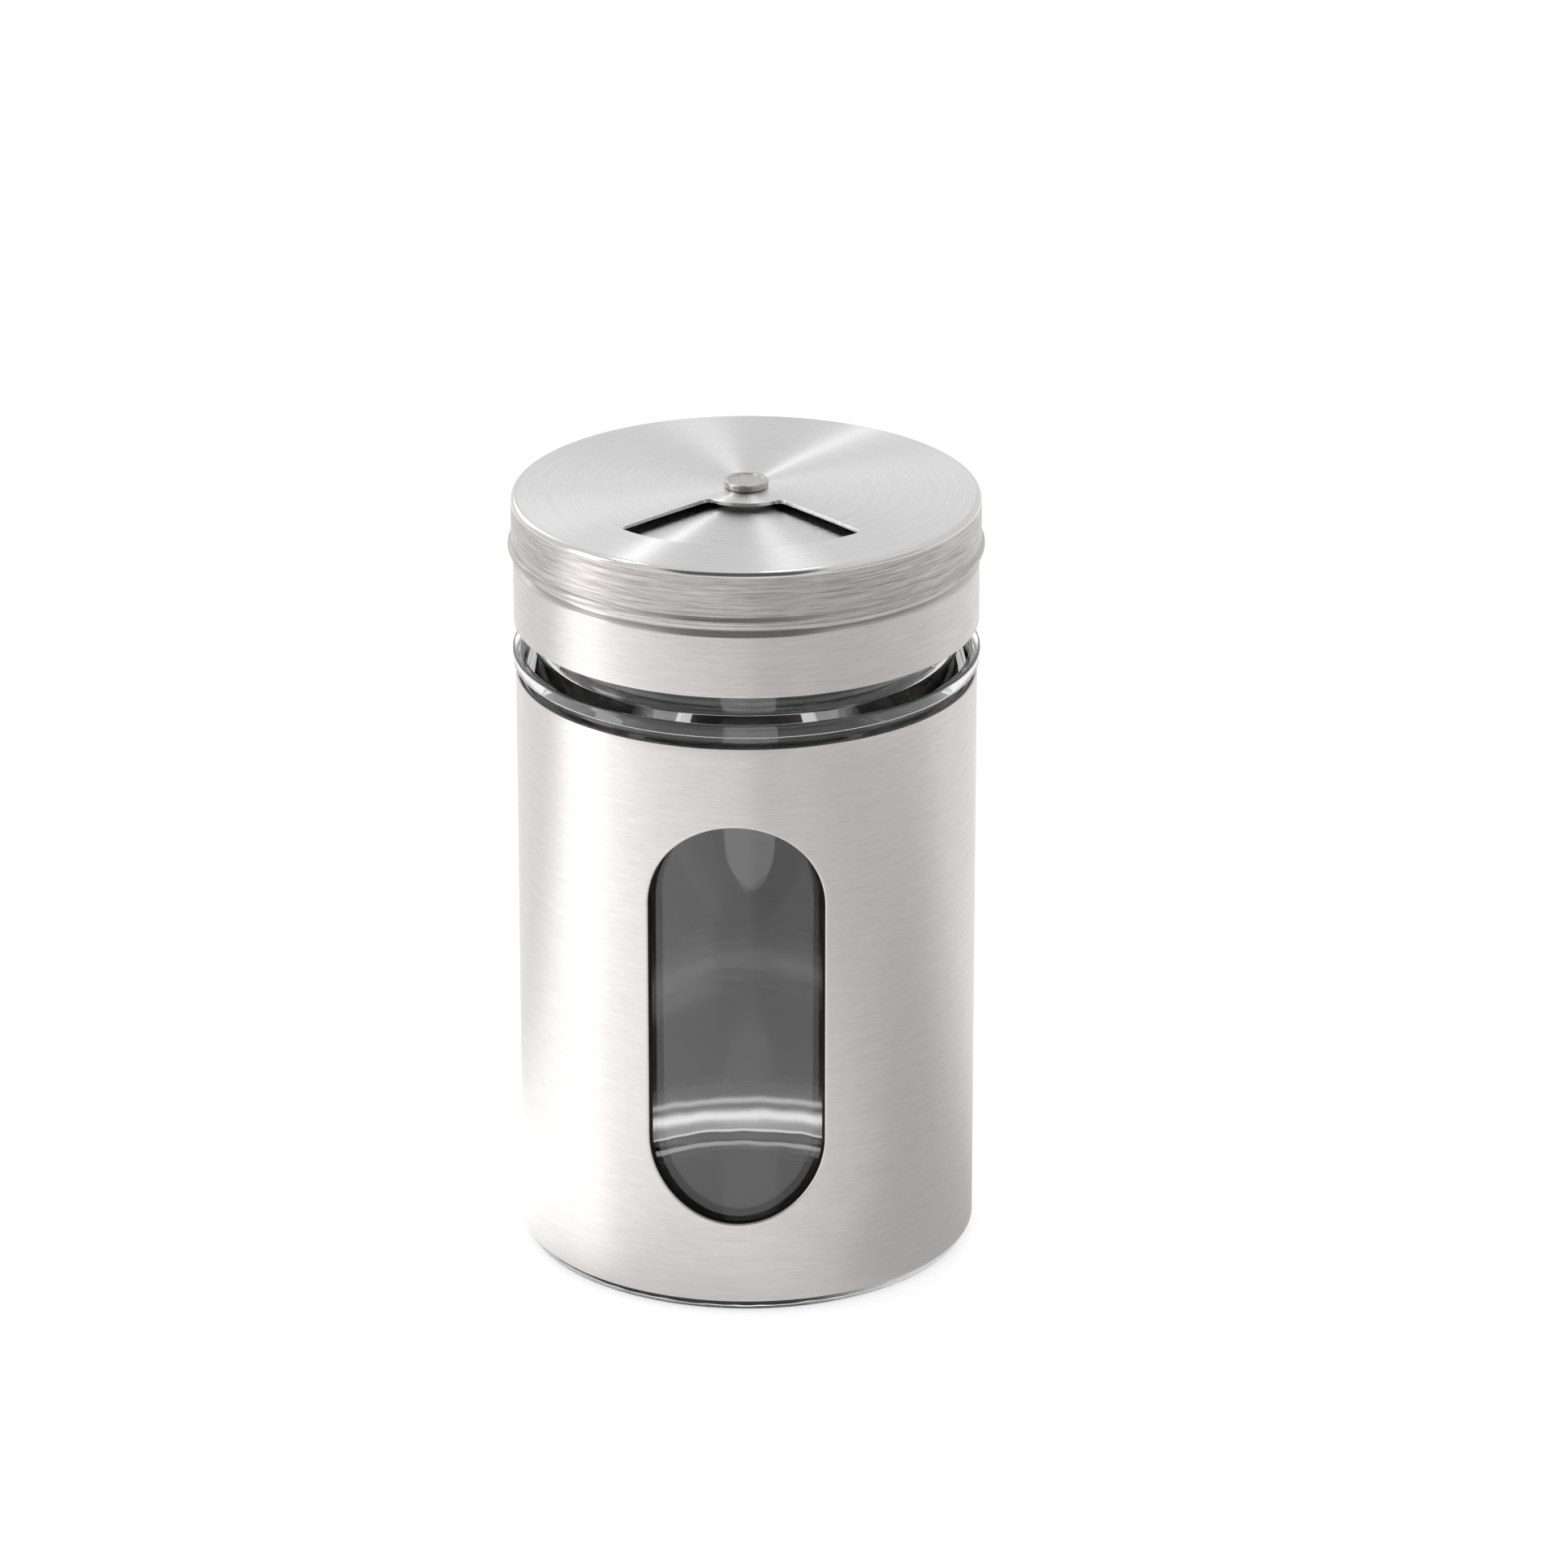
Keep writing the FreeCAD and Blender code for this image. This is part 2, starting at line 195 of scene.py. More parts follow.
# Outline of an opening with elliptic corners, as (across, along) pairs that start at the middle of the low
# right corner and go up. opening has half, low, high, the corners' widths at low and high with their height,
# and widen, which is what one millimetre back from the edge is in the measure across. steps has the counts
# of points on half a corner, on a side and on an end
def openingOutline(opening, steps, back):
    side = back * opening["widen"]
    half = opening["half"] + side
    low, high = opening["low"] - back, opening["high"] + back
    wideLow, wideHigh = (width + side for width in opening["corners"][:2])
    tall = opening["corners"][2] + back
    centres = np.array(
        [
            (half - wideLow, low + tall),
            (half - wideHigh, high - tall),
            (wideHigh - half, high - tall),
            (wideLow - half, low + tall),
        ]
    )
    axes = np.array([(wideLow, tall), (wideHigh, tall), (wideHigh, tall), (wideLow, tall)])
    turn = np.linspace(0, quarterTurn, 2 * steps["corner"] + 1)
    arcs = []
    for i in range(4):
        arcs.append(centres[i] + axes[i] * onCircle(turn + (i - 1) * quarterTurn))
    run = []
    for i, straight in enumerate((steps["side"], steps["end"]) * 2):
        run.append(arcs[i][:-1])
        run.append(np.linspace(arcs[i][-1], arcs[(i + 1) % 4][0], straight, endpoint=False))
    return np.roll(np.vstack(run), -steps["corner"], axis=0)


# A band round the axis with one opening: rings of points that grow from the opening to the border of a patch,
# and an even grid for the rest of the way round, both as (bearing, along) pairs
def openBand(outline, steps, low, high):
    reach = math.radians(steps["patch"])
    up = np.linspace(low, high, 2 * steps["corner"] + steps["side"] + 1)
    across = np.linspace(reach, -reach, 2 * steps["corner"] + steps["end"] + 1)
    border = np.vstack(
        [
            np.stack(np.broadcast_arrays(reach, up[:-1]), axis=1),
            np.stack(np.broadcast_arrays(across[:-1], high), axis=1),
            np.stack(np.broadcast_arrays(-reach, up[:0:-1]), axis=1),
            np.stack(np.broadcast_arrays(across[:0:-1], low), axis=1),
        ]
    )
    grown = (np.linspace(0, 1, steps["rings"] + 1) ** steps["ease"])[:, None, None]
    patch = outline + (border - outline) * grown
    rest = np.linspace(reach, fullTurn - reach, steps["rest"] + 1)
    plain = np.stack(np.meshgrid(rest, up), axis=-1)
    return patch, plain


# The bearings of all columns of such a band, for the turned parts that join it
def bandBearings(steps):
    reach = math.radians(steps["patch"])
    front = np.linspace(-reach, reach, 2 * steps["corner"] + steps["end"] + 1)
    rest = np.linspace(reach, fullTurn - reach, steps["rest"] + 1)
    return np.concatenate((front[:-1], rest[:-1]))


# An sRGB hex colour as the linear colour that shaders take
def linear(code):
    channels = [int(code[i : i + 2], 16) / 255 for i in (0, 2, 4)]
    return [c / 12.92 if c <= 0.04045 else ((c + 0.055) / 1.055) ** 2.4 for c in channels] + [1.0]


# Adds a shader node with its settings. Each input is a value, or another node's output to link
def addNode(tree, kind, settings=None, inputs=None):
    node = tree.nodes.new("ShaderNode" + kind)
    for name, value in (settings or {}).items():
        setattr(node, name, value)
    for socket, value in (inputs or {}).items():
        if isinstance(value, bpy.types.NodeSocket):
            tree.links.new(value, node.inputs[socket])
        else:
            node.inputs[socket].default_value = value
    return node


# A material without nodes, and its tree
def newMaterial(name):
    material = bpy.data.materials.new(name)
    material.use_nodes = True
    material.node_tree.nodes.clear()
    return material, material.node_tree


# Coordinates for brush lines that run round the axis: the heading from the axis, stretched along the lines,
# and one measure across them that grows outwards on a flat top and downwards on an upright wall
def brushSpace(tree, lineLength, lineWidth, radius):
    spot = addNode(tree, "TexCoord").outputs["Object"]
    parts = addNode(tree, "SeparateXYZ", inputs={0: spot}).outputs
    flat = addNode(tree, "CombineXYZ", inputs={"X": parts["X"], "Y": parts["Y"]}).outputs[0]
    reach = addNode(tree, "VectorMath", {"operation": "LENGTH"}, {0: flat}).outputs["Value"]
    heading = addNode(tree, "VectorMath", {"operation": "NORMALIZE"}, {0: flat}).outputs[0]
    around = addNode(
        tree, "VectorMath", {"operation": "SCALE"}, {0: heading, "Scale": radius / lineLength}
    ).outputs[0]
    across = addNode(tree, "Math", {"operation": "SUBTRACT"}, {0: reach, 1: parts["Z"]}).outputs[0]
    scaled = addNode(
        tree, "Math", {"operation": "MULTIPLY"}, {0: across, 1: 1 / (lineWidth * mm)}
    ).outputs[0]
    turned = addNode(tree, "SeparateXYZ", inputs={0: around}).outputs
    return addNode(
        tree, "CombineXYZ", inputs={"X": turned["X"], "Y": turned["Y"], "Z": scaled}
    ).outputs[0]


# Stainless steel sheet, brushed round the axis. The lines spread a light upwards and downwards but hardly
# sideways, so an upright wall shows the room as soft upright bands and a flat top shows it as rays. Real
# lines are a few hundredths of a millimetre wide, too fine for the render, so they are drawn wider here
def brushedSteel(name, look):
    material, tree = newMaterial(name)
    lines = []
    for key in ("coarse", "fine"):
        line = look[key]
        space = brushSpace(tree, line["length"], line["width"], look["radius"])
        noise = addNode(
            tree, "TexNoise", {}, {"Vector": space, "Scale": 1.0, "Detail": 3.0, "Roughness": 0.6}
        )
        lines.append(noise.outputs["Fac"])
    both = addNode(
        tree, "Mix", {"data_type": "FLOAT"}, {0: look["fineShare"], 2: lines[0], 3: lines[1]}
    ).outputs[0]
    spread = addNode(
        tree,
        "MapRange",
        {"interpolation_type": "SMOOTHSTEP"},
        {"Value": both, "From Min": 0.5 - look["contrast"], "From Max": 0.5 + look["contrast"]},
    ).outputs["Result"]
    colour = addNode(
        tree,
        "Mix",
        {"data_type": "RGBA"},
        {0: spread, 6: linear(look["groove"]), 7: linear(look["ridge"])},
    ).outputs[2]
    rough = addNode(
        tree,
        "MapRange",
        {},
        {
            "Value": both,
            "From Min": 0.3,
            "From Max": 0.7,
            "To Min": look["rough"][1],
            "To Max": look["rough"][0],
        },
    ).outputs["Result"]
    bump = addNode(
        tree, "Bump", {}, {"Height": both, "Strength": 1.0, "Distance": look["depth"] * mm}
    ).outputs[0]
    tangent = addNode(tree, "Tangent", {"direction_type": "RADIAL", "axis": "Z"}).outputs[0]
    steel = addNode(
        tree,
        "BsdfPrincipled",
        {},
        {
            "Base Color": colour,
            "Metallic": 1.0,
            "Roughness": rough,
            "Anisotropic": look["anisotropy"],
            "Anisotropic Rotation": 0.25,
            "Normal": bump,
            "Tangent": tangent,
        },
    )
    addNode(tree, "OutputMaterial", {}, {"Surface": steel.outputs[0]})
    return material


# A surface whose finish is a little uneven. details has a noise for each key, with its detail. One noise
# drives the roughness and one the bump, and the clouds mix two colours where the look has no single one
def unevenSurface(name, look, details, roughBy, bumpBy, settings):
    material, tree = newMaterial(name)
    spot = addNode(tree, "TexCoord").outputs["Object"]
    noises = {}
    for key, detail in details.items():
        noise = addNode(
            tree, "TexNoise", {}, {"Vector": spot, "Scale": 1 / (look[key] * mm), "Detail": detail}
        )
        noises[key] = noise.outputs["Fac"]
    if "colour" in look:
        colour = linear(look["colour"])
    else:
        colour = addNode(
            tree,
            "Mix",
            {"data_type": "RGBA"},
            {0: noises["cloud"], 6: linear(look["dark"]), 7: linear(look["light"])},
        ).outputs[2]
    rough = addNode(
        tree,
        "MapRange",
        {},
        {"Value": noises[roughBy], "To Min": look["rough"][0], "To Max": look["rough"][1]},
    ).outputs["Result"]
    bump = addNode(
        tree, "Bump", {}, {"Height": noises[bumpBy], "Strength": 1.0, "Distance": look["depth"] * mm}
    ).outputs[0]
    surface = addNode(
        tree,
        "BsdfPrincipled",
        {},
        {"Base Color": colour, "Roughness": rough, "Normal": bump, **settings},
    )
    addNode(tree, "OutputMaterial", {}, {"Surface": surface.outputs[0]})
    return material


# Steel as it leaves the rolling mill, which is what the inside of the pressed pieces shows: dull and even,
# with faint clouds of sheen
def milledSteel(name, look):
    return unevenSurface(name, look, {"cloud": 4.0, "grain": 2.0}, "cloud", "grain", {"Metallic": 1.0})


# Clear soda-lime glass, blown in a mould: colourless, with a ripple that bends what is seen through it
def clearGlass(name, look):
    settings = {"IOR": look["ior"], "Transmission Weight": 1.0}
    return unevenSurface(name, look, {"ripple": 1.0}, "ripple", "ripple", settings)


# Moulded plastic and rubber: a soft light through the surface, a fine grain from the mould and slight clouds
def mouldedPlastic(name, look):
    settings = {
        "IOR": look["ior"],
        "Subsurface Weight": look["through"],
        "Subsurface Scale": look["depthOfLight"] * mm,
    }
    return unevenSurface(name, look, {"cloud": 3.0, "grain": 2.0}, "grain", "grain", settings)


# Camera: the photograph's long lens, from the front and above, a little to the right of the window's middle
camera = {
    "framePixels": 1932,
    "focalPixels": 9500,
    "place": (4.45, -856.3, 398.5),
    "down": 21.75,
    "turn": 2.5,
}
lens = bpy.data.cameras.new("camera")
lens.sensor_width = 36
lens.lens = lens.sensor_width * camera["focalPixels"] / camera["framePixels"]
lens.clip_start = 0.05
lens.clip_end = 20
viewer = addObject("camera", lens)
turned = Matrix.Rotation(math.radians(camera["turn"]), 4, "Z")
moved = Matrix.Translation(Vector(camera["place"]) * mm)
tilted = Matrix.Rotation(math.radians(90 - camera["down"]), 4, "X")
viewer.matrix_world = turned @ moved @ tilted
bpy.context.scene.camera = viewer
print("camera set")

# Sizes that several pieces share
beadRadius, jarFoot, rimHeight = span("glass_jar")
sleeveRadius, sleeveFoot, sleeveTop = span("window_sleeve")
capRadius, capFoot, capTop = span("shaker_cap")
curlRadius, curlFoot, coverTop = span("rotating_cover")
columns = allRound(240)

# Glass jar
jar = {
    "sleevePlay": 0.1,
    "sleeveSheet": 0.3,
    "wall": 2.6,
    "base": 3.0,
    "pushUp": 0.8,
    "pushUpSlope": 6.0,
    "pushUpRound": 8.0,
    "standInner": 21.5,
    "standRound": 1.2,
    "heelRound": 1.0,
    "floorRound": 4.4,
    "waistFoot": 3.4,
    "waistHead": 66.0,
    "waistDepth": 0.9,
    "waistRound": 0.5,
    "grooveFoot": 72.0,
    "grooveRise": 0.4,
    "grooveRadius": 26.3,
    "grooveRound": 0.3,
    "beadFoot": 73.4,
    "beadTop": 75.1,
    "beadFillet": 0.4,
    "beadRound": 0.35,
    "shoulder": 75.4,
    "neckSetBack": 2.4,
    "neckFillet": 0.7,
    "neckWall": 2.7,
    "neckStep": 0.12,
    "rimRound": 0.8,
    "innerShoulder": 67.4,
    "innerRound": 4.0,
    "uneven": {
        "inside": 0.015,
        "heel": 0.05,
        "rimCalm": 2.0,
        "rimFade": 4.0,
        "waves": ((7, 0.5, 0.4), (17, -1.3, 2.1), (29, 1.7, 4.4), (43, 0.6, 1.3), (57, -2.2, 3.0)),
        "sharing": 3,
    },
}
neckScrew = {
    "pitch": 4.23,
    "turns": 1.25,
    "underRim": 3.0,
    "bearing": 120.0,
    "root": 2.3,
    "crest": 0.9,
    "reach": 1.1,
    "fade": 0.05,
}
neckScrew["start"] = rimHeight - neckScrew["underRim"] - neckScrew["pitch"] * neckScrew["turns"]
jarRadius = sleeveRadius - jar["sleeveSheet"] - jar["sleevePlay"]
neckRadius = jarRadius - jar["neckSetBack"]
boreRadius = neckRadius - jar["neckWall"]
innerRadius = jarRadius - jar["wall"]
waistRadius = jarRadius - jar["waistDepth"]


# Blown glass is a little uneven: a sum of waves of bearing and height, each with its own count of waves round
# the axis, its own turn to a millimetre of height and its own start
def blownWaves(bearings, heights):
    uneven = jar["uneven"]
    total = 0
    for around, up, start in uneven["waves"]:
        total = total + np.sin(around * bearings + up * heights + start) / uneven["sharing"]
    return total


# The jar's outline is turned round the axis. On the neck the thread's rise is added to the radius. Inside,
# and outside below the sleeve, the unevenness is taken off it, which fades out towards the rim, the middle of
# the floor and the table. The floor's fillet is a part of its own, because it has a finish of its own
def jarParts():
    corners = [
        (0, jar["pushUp"], 0),
        (jar["standInner"] - jar["pushUpSlope"], jar["pushUp"], jar["pushUpRound"]),
        (jar["standInner"], jarFoot, jar["standRound"]),
        (jarRadius, jarFoot, jar["heelRound"]),
        (jarRadius, jar["waistFoot"], jar["waistRound"]),
        (waistRadius, jar["waistFoot"] + jar["waistDepth"], jar["waistRound"]),
        (waistRadius, jar["waistHead"] - jar["waistDepth"], jar["waistRound"]),
        (jarRadius, jar["waistHead"], jar["waistRound"]),
        (jarRadius, jar["grooveFoot"], jar["grooveRound"]),
        (jar["grooveRadius"], jar["grooveFoot"] + jar["grooveRise"], jar["grooveRound"]),
        (jar["grooveRadius"], jar["beadFoot"], jar["beadFillet"]),
        (beadRadius, jar["beadFoot"], jar["beadRound"]),
        (beadRadius, jar["beadTop"], jar["beadRound"]),
        (neckRadius, jar["shoulder"], jar["neckFillet"], jar["neckStep"]),
        (neckRadius, rimHeight, jar["rimRound"]),
        (boreRadius, rimHeight, jar["rimRound"]),
        (boreRadius, jar["shoulder"], jar["innerRound"]),
        (innerRadius, jar["innerShoulder"], jar["innerRound"]),
        (innerRadius, jar["base"], jar["floorRound"]),
        (0, jar["base"], 0),
    ]
    outline = outlineOf(corners)
    radii, heights = outline[:, :1], outline[:, 1:]
    onNeck = np.abs(outline[:, 0] - neckRadius) < tiny
    neckEnd = int(np.flatnonzero(onNeck)[-1])
    uneven = jar["uneven"]
    calm = smooth((rimHeight - uneven["rimCalm"] - heights) / uneven["rimFade"])
    inside = smooth(radii / boreRadius) * calm
    inside[: neckEnd + 1] = 0
    heel = smooth(heights) * smooth(sleeveFoot - heights) * smooth(radii - jar["standInner"])
    heel[neckEnd:] = 0
    wave = uneven["inside"] * inside + uneven["heel"] * heel
    grid = place(columns[None, :], radii - wave * (1 + blownWaves(columns[None, :], heights)), heights)
    rise = threadRise(columns[None, :], heights[onNeck], neckScrew)
    grid[onNeck] = place(columns[None, :], neckRadius + rise, heights[onNeck])
    hollow = np.arange(len(outline)) > neckEnd
    first = int(np.argmax(hollow & (outline[:, 1] < jar["base"] + jar["floorRound"] + tiny)))
    last = int(np.argmax(hollow & (outline[:, 1] < jar["base"] + tiny)))
    return [gridPart(grid[: first + 1]), gridPart(grid[first : last + 1], 1), gridPart(grid[last:])]


# Fire polished: sharp and bright, with a slow ripple
glass = clearGlass(
    "sodaLimeGlassFirePolished",
    {"colour": "fefefe", "ior": 1.52, "ripple": 9.0, "depth": 0.02, "rough": (0.0, 0.02)},
)
# The floor's fillet, which the mould has chilled: close ripples that scatter the light softly
chilledGlass = clearGlass(
    "sodaLimeGlassChillRippled",
    {"colour": "fefefe", "ior": 1.52, "ripple": 0.5, "depth": 0.02, "rough": (0.55, 0.65)},
)
makePiece("glassJar", jarParts(), [glass, chilledGlass], "jar", "glass_jar")

# Steel sleeve with its window
sleeve = {
    "sheet": jar["sleeveSheet"],
    "lip": 0.07,
    "windowWidth": 20.9,
    "windowFoot": 10.1,
    "windowHead": 9.85,
    "collarDepth": 1.2,
    "bend": 0.2,
    "underBend": 0.15,
    "steps": {"corner": 14, "side": 44, "end": 0, "rings": 14, "ease": 1.5, "patch": 48, "rest": 150},
}


# The sheet is a tube whose outer and inner faces are bands with one opening. At the window the sheet is
# turned in as a collar, whose section is an outline of depths under the outer face and distances back from
# the window's edge. The collar runs towards the axis: a point of the edge keeps the bearing whose sine is its
# x over the outer radius
def sleeveParts():
    steps = sleeve["steps"]
    half = sleeve["windowWidth"] / 2
    sheet, lip = sleeve["sheet"], sleeve["lip"]
    window = {
        "half": half,
        "low": sleeveFoot + sleeve["windowFoot"],
        "high": sleeveTop - sleeve["windowHead"],
        "corners": (half, half, half),
        "widen": 1,
    }

    # The window's outline at a distance back from its edge, as (bearing, height) pairs
    def windowRow(back):
        outline = openingOutline(window, steps, back)
        return np.stack((np.arcsin(outline[:, 0] / sleeveRadius), outline[:, 1]), axis=1)

    collar = outlineOf(
        [
            (0, sleeve["bend"], 0),
            (0, 0, sleeve["bend"]),
            (sleeve["collarDepth"], 0, lip),
            (sleeve["collarDepth"], sheet, lip),
            (sheet, sheet, sleeve["underBend"]),
            (sheet, sheet + sleeve["underBend"], 0),
        ]
    )
    parts = []
    for (depth, back), finish in ((collar[0], 0), (collar[-1], 1)):
        faces = openBand(windowRow(back), steps, sleeveFoot + lip, sleeveTop - lip)
        for face, closed in zip(faces, (True, False)):
            parts.append(gridPart(place(face[..., 0], sleeveRadius - depth, face[..., 1]), finish, closed))
    rows = []
    for depth, back in collar:
        row = windowRow(back)
        rows.append(place(row[:, 0], sleeveRadius - depth, row[:, 1]))
    wall = np.stack(rows)
    bent = int(np.argmax(collar[:, 0] > sleeve["bend"])) + 1
    # The collar's wall takes the third finish, the steel painted dark as shade
    parts += [gridPart(wall[:bent]), gridPart(wall[bent - 1 :], 2)]
    edge = edgeRound(sheet, lip)
    bearings = bandBearings(steps)
    for end, way in ((sleeveTop, -1), (sleeveFoot, 1)):
        rim = np.stack((sleeveRadius - edge[:, 0], end + way * edge[:, 1]), axis=1)
        parts.append(gridPart(lathe(rim, bearings)))
    return parts


# What the walls of the sleeve and the cap have in common
wallLook = {"fineShare": 0.5, "contrast": 0.25, "rough": (0.3, 0.38), "anisotropy": 0.75, "depth": 0.004}
# Fine short lines round the tube: a calm wall with soft upright bands
sleeveSteel = brushedSteel(
    "stainlessSteelFineBrushed",
    {
        **wallLook,
        "radius": 27.4,
        "ridge": "cbc8c6",
        "groove": "bcb9b7",
        "coarse": {"length": 5.0, "width": 0.2},
        "fine": {"length": 1.6, "width": 0.09},
    },
)
# The inner faces: an even pale grey that shows no lamp
milled = milledSteel(
    "stainlessSteelMillFinish",
    {"light": "a8a5a3", "dark": "9a9795", "cloud": 6.0, "grain": 0.3, "rough": (0.8, 0.9), "depth": 0.004},
)
# The collar's cut wall: steel painted dark, as painted shade for the shadow inside the collar, which draws a
# dark line round the window
collarShadeSteel = milledSteel(
    "stainlessSteelCollarPaintedShade",
    {"light": "302e2c", "dark": "242220", "cloud": 3.0, "grain": 0.2, "rough": (0.5, 0.6), "depth": 0.004},
)
sleeveLooks = [sleeveSteel, milled, collarShadeSteel]
makePiece("windowSleeve", sleeveParts(), sleeveLooks, "jar", "window_sleeve")

# Shaker cap
cap = {
    "sheet": 0.4,
    "bandTop": 85.95,
    "bandRound": 0.35,
    "stepIn": 0.6,
    "stepRise": 0.6,
    "stepFillet": 0.3,
    "innerRound": 0.2,
    "footRound": 0.144,
    "corner": 1.0,
    "lip": 0.09,
    "seat": 21.5,
    "crown": 0.45,
    "boss": 4.2,
    "rivetHole": 1.55,
    "rivetHoleRound": 0.05,
    "columns": 224,
    "spacing": 0.8,
    "holeColumns": 56,
    "holeRings": (0.06, 0.25, 0.6, 1.1),
    "edgeRings": (0.06, 0.25, 0.6),
    "ringRoom": 0.98,
    "looseRoom": 1.4,
    "edgeRoom": 0.05,
    "sameSpot": 0.0001,
}
# Each hole's place is a share of the seat's radius and a turn in degrees from its group's bearing
holeGroups = [
    {"bearing": 270.0, "radius": 2.95, "places": [(0.79, -27.7), (0.79, 27.7), (0.515, 0)]},
    {"bearing": 180.0, "radius": 2.3, "places": [(0.72, -28.0), (0.72, 28.0), (0.44, 0)]},
    {
        "bearing": 90.0,
        "radius": 1.2,
        "places": [(0.745, -29.0), (0.745, 0), (0.745, 29.0), (0.465, -13.6), (0.465, 13.6)],
    },
]


# Height of a crowned plate above its edge: all of the rise at the boss, and less by the square of the radius
def crownRise(radius, edge, boss, rise):
    share = (1 - (radius / edge) ** 2) / (1 - (boss / edge) ** 2)
    return rise * np.clip(share, 0, 1)


# Middle and radius of each shaker hole, with the rounding of its edge
def holePlaces():
    places = []
    for group in holeGroups:
        for share, turn in group["places"]:
            middle = place(math.radians(group["bearing"] + turn), share * cap["seat"], 0.0)[:2]
            places.append((middle, group["radius"] + cap["lip"]))
    return places


# A flat ring with round holes: points on rings round the axis and round each hole, joined by a constrained
# Delaunay triangulation, without the triangles whose middle is in a hole. Each ring of points keeps its own
# room from the holes
def perforatedRing(holes, inner, outer, rim):
    circles = [place(rim, radius, 0.0)[:, :2] for radius in (inner, outer)]
    ring = onCircle(allRound(cap["holeColumns"]))
    circles += [middle + radius * ring for middle, radius in holes]
    loose = []
    for radius in np.arange(inner + cap["spacing"], outer - cap["spacing"] / 2, cap["spacing"]):
        count = round(fullTurn * radius / cap["spacing"])
        loose.append((radius * onCircle(allRound(count)), cap["looseRoom"]))
    for step in cap["holeRings"]:
        for middle, radius in holes:
            loose.append((middle + (radius + step) * ring, step * cap["ringRoom"]))
    for radius, sign in ((inner, 1), (outer, -1)):
        for step in cap["edgeRings"]:
            loose.append((place(rim, radius + sign * step, 0.0)[:, :2], step * cap["ringRoom"]))
    kept = []
    for spots, room in loose:
        reach = np.linalg.norm(spots, axis=1)
        clear = (reach > inner + cap["edgeRoom"]) & (reach < outer - cap["edgeRoom"])
        for middle, radius in holes:
            clear &= np.linalg.norm(spots - middle, axis=1) > radius + room
        kept.append(spots[clear])
    edges = []
    start = 0
    for circle in circles:
        index = start + np.arange(len(circle))
        edges += np.stack((index, np.roll(index, -1)), axis=1).tolist()
        start += len(circle)
    flat = [Vector(spot) for spot in np.vstack(circles + kept)]
    found = delaunay_2d_cdt(flat, edges, [], 0, cap["sameSpot"])
    spots = np.array([tuple(spot) for spot in found[0]])
    cells = np.array(found[2])
    middles = spots[cells].mean(axis=1)
    reach = np.linalg.norm(middles, axis=1)
    keep = (reach > inner) & (reach < outer)
    for middle, radius in holes:
        keep &= np.linalg.norm(middles - middle, axis=1) > radius
    return spots, cells[keep]


# The skirt, the step and the rounding of the top are turned, inside and outside. The crowned plate with its
# holes is closed by the rounded edge of each hole
def capParts():
    plateTop = capTop - cap["crown"]
    upper = capRadius - cap["stepIn"]
    stepTop = cap["bandTop"] + cap["stepRise"]
    sheet, lip = cap["sheet"], cap["lip"]
    outside = outlineOf(
        [
            (cap["seat"], plateTop, 0),
            (upper, plateTop, cap["corner"]),
            (upper, stepTop, cap["stepFillet"]),
            (capRadius, cap["bandTop"], cap["bandRound"]),
            (capRadius, capFoot, cap["footRound"]),
            (capRadius - sheet, capFoot, cap["footRound"]),
        ]
    )
    inside = outlineOf(
        [
            (capRadius - sheet, capFoot, 0),
            (capRadius - sheet, cap["bandTop"], cap["innerRound"]),
            (upper - sheet, stepTop, cap["innerRound"]),
            (upper - sheet, plateTop - sheet, cap["corner"] - sheet),
            (cap["seat"], plateTop - sheet, 0),
        ]
    )
    inside[0] = outside[-1]
    boss = outlineOf(
        [
            (cap["boss"], capTop, 0),
            (cap["rivetHole"], capTop, cap["rivetHoleRound"]),
            (cap["rivetHole"], capTop - sheet, cap["rivetHoleRound"]),
            (cap["boss"], capTop - sheet, 0),
        ]
    )
    bearings = allRound(cap["columns"])
    rounding = int(np.argmax(outside[:, 0] > upper - cap["corner"]))
    parts = []
    for rows, finish in ((outside[: rounding + 1], 2), (outside[rounding:], 0), (inside, 1), (boss, 2)):
        parts.append(gridPart(lathe(rows, bearings), finish))
    holes = holePlaces()
    spots, cells = perforatedRing(holes, cap["boss"], cap["seat"], bearings)

    # Flat points raised to the crowned plate, less a drop
    def lifted(flat, drop):
        reach = np.linalg.norm(flat, axis=-1)
        rise = crownRise(reach, cap["seat"], cap["boss"], cap["crown"])
        return np.concatenate((flat, (plateTop + rise - drop)[..., None]), axis=-1)

    for drop, finish in ((0.0, 2), (sheet, 1)):
        parts.append((lifted(spots, drop), cells.tolist(), finish))
    ring = onCircle(allRound(cap["holeColumns"]))
    edge = edgeRound(sheet, lip)
    for middle, radius in holes:
        rows = [lifted(middle + (radius - lip + back) * ring, depth) for depth, back in edge]
        parts.append(gridPart(np.stack(rows)))
    return parts


# Long fine circles: a bright disc with sharp rays from the middle
discSteel = brushedSteel(
    "stainlessSteelDiscBrushed",
    {
        "radius": 27.8,
        "ridge": "dadada",
        "groove": "cbcbca",
        "coarse": {"length": 14.0, "width": 0.3},
        "fine": {"length": 6.0, "width": 0.11},
        "fineShare": 0.55,
        "contrast": 0.3,
        "rough": (0.24, 0.29),
        "anisotropy": 1.0,
        "depth": 0.002,
    },
)
# The cap's wall, like the sleeve's with slightly wider lines and deeper grooves
capSteel = brushedSteel(
    "stainlessSteelSpunBrushed",
    {
        **wallLook,
        "radius": 27.6,
        "ridge": "c6c3c1",
        "groove": "b4b1af",
        "coarse": {"length": 5.0, "width": 0.22},
        "fine": {"length": 1.8, "width": 0.09},
    },
)
makePiece("shakerCap", capParts(), [capSteel, milled, discSteel], "lid", "shaker_cap")

